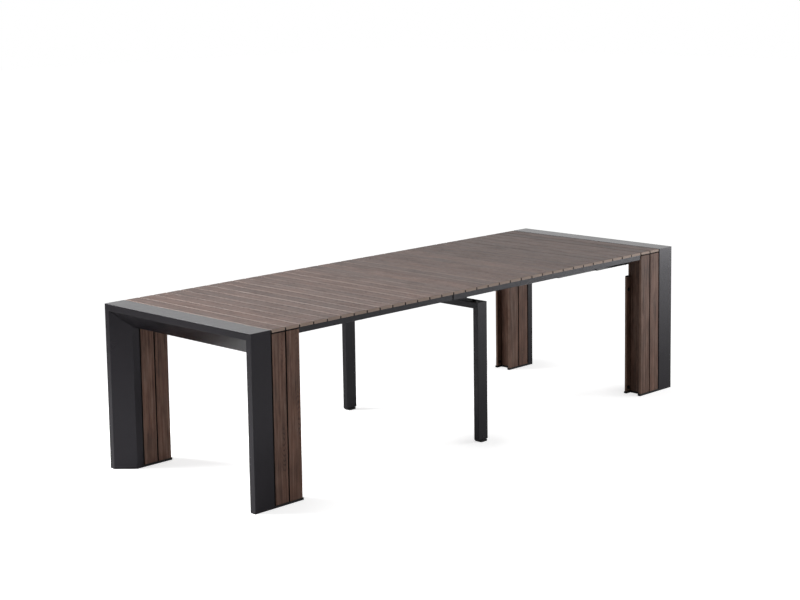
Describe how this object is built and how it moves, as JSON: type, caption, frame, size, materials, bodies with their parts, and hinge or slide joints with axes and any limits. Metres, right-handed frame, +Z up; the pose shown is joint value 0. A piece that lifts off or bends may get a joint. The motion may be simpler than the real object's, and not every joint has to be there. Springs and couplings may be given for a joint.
{
  "type": "extending outdoor dining table",
  "caption": "Long slatted outdoor dining table with mitred metal end frames, lift-out leaves on telescopic slides and a centre support that parks in the legs when shut.",
  "frame": {"origin": "on the floor, under the middle of the table top", "axes": "+X along the table's length, +Y across it to the far side, +Z up"},
  "size_m": [2.9084, 1.006, 0.76],
  "materials": {
    "end_frame_metal": "charcoal powder coat on aluminium, fine texture, satin to matt",
    "leaf_frame_metal": "charcoal powder coat on aluminium tube",
    "support_metal": "charcoal powder coat on aluminium tube",
    "slide_aluminium": "black anodised extrusion",
    "slat_wood": "wood-grain composite slat, dark brown, brushed, matt",
    "core_brown": "dark brown coated tube",
    "foot_plastic": "black moulded plastic",
    "glide_plastic": "off-white acetal shoes",
    "screw_steel": "stainless pan head screws"
  },
  "bodies": {
    "left_end": {"left_bearers": "leaf_frame_metal", "left_corner_brackets": "end_frame_metal", "left_far_leg_slats": "slat_wood", "left_far_post": "end_frame_metal", "left_foot_plates": "foot_plastic", "left_leg_cores": "core_brown", "left_near_leg_slats": "slat_wood", "left_near_post": "end_frame_metal", "left_post_end_caps": "foot_plastic", "left_rail_screws": "screw_steel", "left_slide_rails": "slide_aluminium", "left_top_bar": "end_frame_metal", "left_top_slats": "slat_wood"},
    "right_end": {"right_bearers": "leaf_frame_metal", "right_corner_brackets": "end_frame_metal", "right_far_leg_slats": "slat_wood", "right_far_post": "end_frame_metal", "right_foot_plates": "foot_plastic", "right_leg_cores": "core_brown", "right_near_leg_slats": "slat_wood", "right_near_post": "end_frame_metal", "right_post_end_caps": "foot_plastic", "right_rail_screws": "screw_steel", "right_slide_glides": "glide_plastic", "right_slide_rails": "slide_aluminium", "right_top_bar": "end_frame_metal", "right_top_slats": "slat_wood"},
    "stage_1": {"slide_stage_1": "slide_aluminium", "stage_1_glides": "glide_plastic"},
    "stage_2": {"slide_stage_2": "slide_aluminium", "stage_2_glides": "glide_plastic"},
    "stage_3": {"slide_stage_3": "slide_aluminium", "stage_3_glides": "glide_plastic"},
    "stage_4": {"slide_stage_4": "slide_aluminium", "stage_4_glides": "glide_plastic", "support_crossbar": "support_metal", "support_far_leg": "support_metal", "support_leg_plugs": "foot_plastic", "support_near_leg": "support_metal", "support_screws": "screw_steel", "support_spacers": "support_metal"},
    "stage_5": {"slide_stage_5": "slide_aluminium", "stage_5_glides": "glide_plastic"},
    "stage_6": {"slide_stage_6": "slide_aluminium", "stage_6_glides": "glide_plastic"},
    "stage_7": {"slide_stage_7": "slide_aluminium", "stage_7_glides": "glide_plastic"},
    "leaf_1": {"leaf_1_slats": "slat_wood", "leaf_1_frame": "leaf_frame_metal"},
    "leaf_2": {"leaf_2_slats": "slat_wood", "leaf_2_frame": "leaf_frame_metal"},
    "leaf_3": {"leaf_3_slats": "slat_wood", "leaf_3_frame": "leaf_frame_metal"},
    "leaf_4": {"leaf_4_slats": "slat_wood", "leaf_4_frame": "leaf_frame_metal"},
    "leaf_5": {"leaf_5_slats": "slat_wood", "leaf_5_frame": "leaf_frame_metal"},
    "near_foot": {"near_levelling_foot": "foot_plastic"},
    "far_foot": {"far_levelling_foot": "foot_plastic"}
  },
  "joints": [
    {"name": "extension", "type": "slide", "parent": "left_end", "child": "right_end", "axis": [1, 0, 0], "range_m": [0, 0.06]},
    {"name": "stage_1_slide", "type": "slide", "parent": "left_end", "child": "stage_1", "axis": [1, 0, 0], "range_m": [0, 0.0075]},
    {"name": "stage_2_slide", "type": "slide", "parent": "left_end", "child": "stage_2", "axis": [1, 0, 0], "range_m": [0, 0.015]},
    {"name": "stage_3_slide", "type": "slide", "parent": "left_end", "child": "stage_3", "axis": [1, 0, 0], "range_m": [0, 0.0225]},
    {"name": "stage_4_slide", "type": "slide", "parent": "left_end", "child": "stage_4", "axis": [1, 0, 0], "range_m": [0, 0.03]},
    {"name": "stage_5_slide", "type": "slide", "parent": "left_end", "child": "stage_5", "axis": [1, 0, 0], "range_m": [0, 0.0375]},
    {"name": "stage_6_slide", "type": "slide", "parent": "left_end", "child": "stage_6", "axis": [1, 0, 0], "range_m": [0, 0.045]},
    {"name": "stage_7_slide", "type": "slide", "parent": "left_end", "child": "stage_7", "axis": [1, 0, 0], "range_m": [0, 0.0525]},
    {"name": "leaf_1_lift", "type": "slide", "parent": "stage_1", "child": "leaf_1", "axis": [0, 0, 1], "range_m": [0, 0.25]},
    {"name": "leaf_2_lift", "type": "slide", "parent": "stage_2", "child": "leaf_2", "axis": [0, 0, 1], "range_m": [0, 0.25]},
    {"name": "leaf_3_lift", "type": "slide", "parent": "stage_4", "child": "leaf_3", "axis": [0, 0, 1], "range_m": [0, 0.25]},
    {"name": "leaf_4_lift", "type": "slide", "parent": "stage_6", "child": "leaf_4", "axis": [0, 0, 1], "range_m": [0, 0.25]},
    {"name": "leaf_5_lift", "type": "slide", "parent": "stage_7", "child": "leaf_5", "axis": [0, 0, 1], "range_m": [0, 0.25]},
    {"name": "near_foot_screw", "type": "slide", "parent": "stage_4", "child": "near_foot", "axis": [0, 0, -1], "range_m": [0, 0.008]},
    {"name": "far_foot_screw", "type": "slide", "parent": "stage_4", "child": "far_foot", "axis": [0, 0, -1], "range_m": [0, 0.008]}
  ],
  "couplings": [
    {"joint": "stage_1_slide", "follows": "extension", "ratio": 0.125},
    {"joint": "stage_2_slide", "follows": "extension", "ratio": 0.25},
    {"joint": "stage_3_slide", "follows": "extension", "ratio": 0.375},
    {"joint": "stage_4_slide", "follows": "extension", "ratio": 0.5},
    {"joint": "stage_5_slide", "follows": "extension", "ratio": 0.625},
    {"joint": "stage_6_slide", "follows": "extension", "ratio": 0.75},
    {"joint": "stage_7_slide", "follows": "extension", "ratio": 0.875}
  ]
}
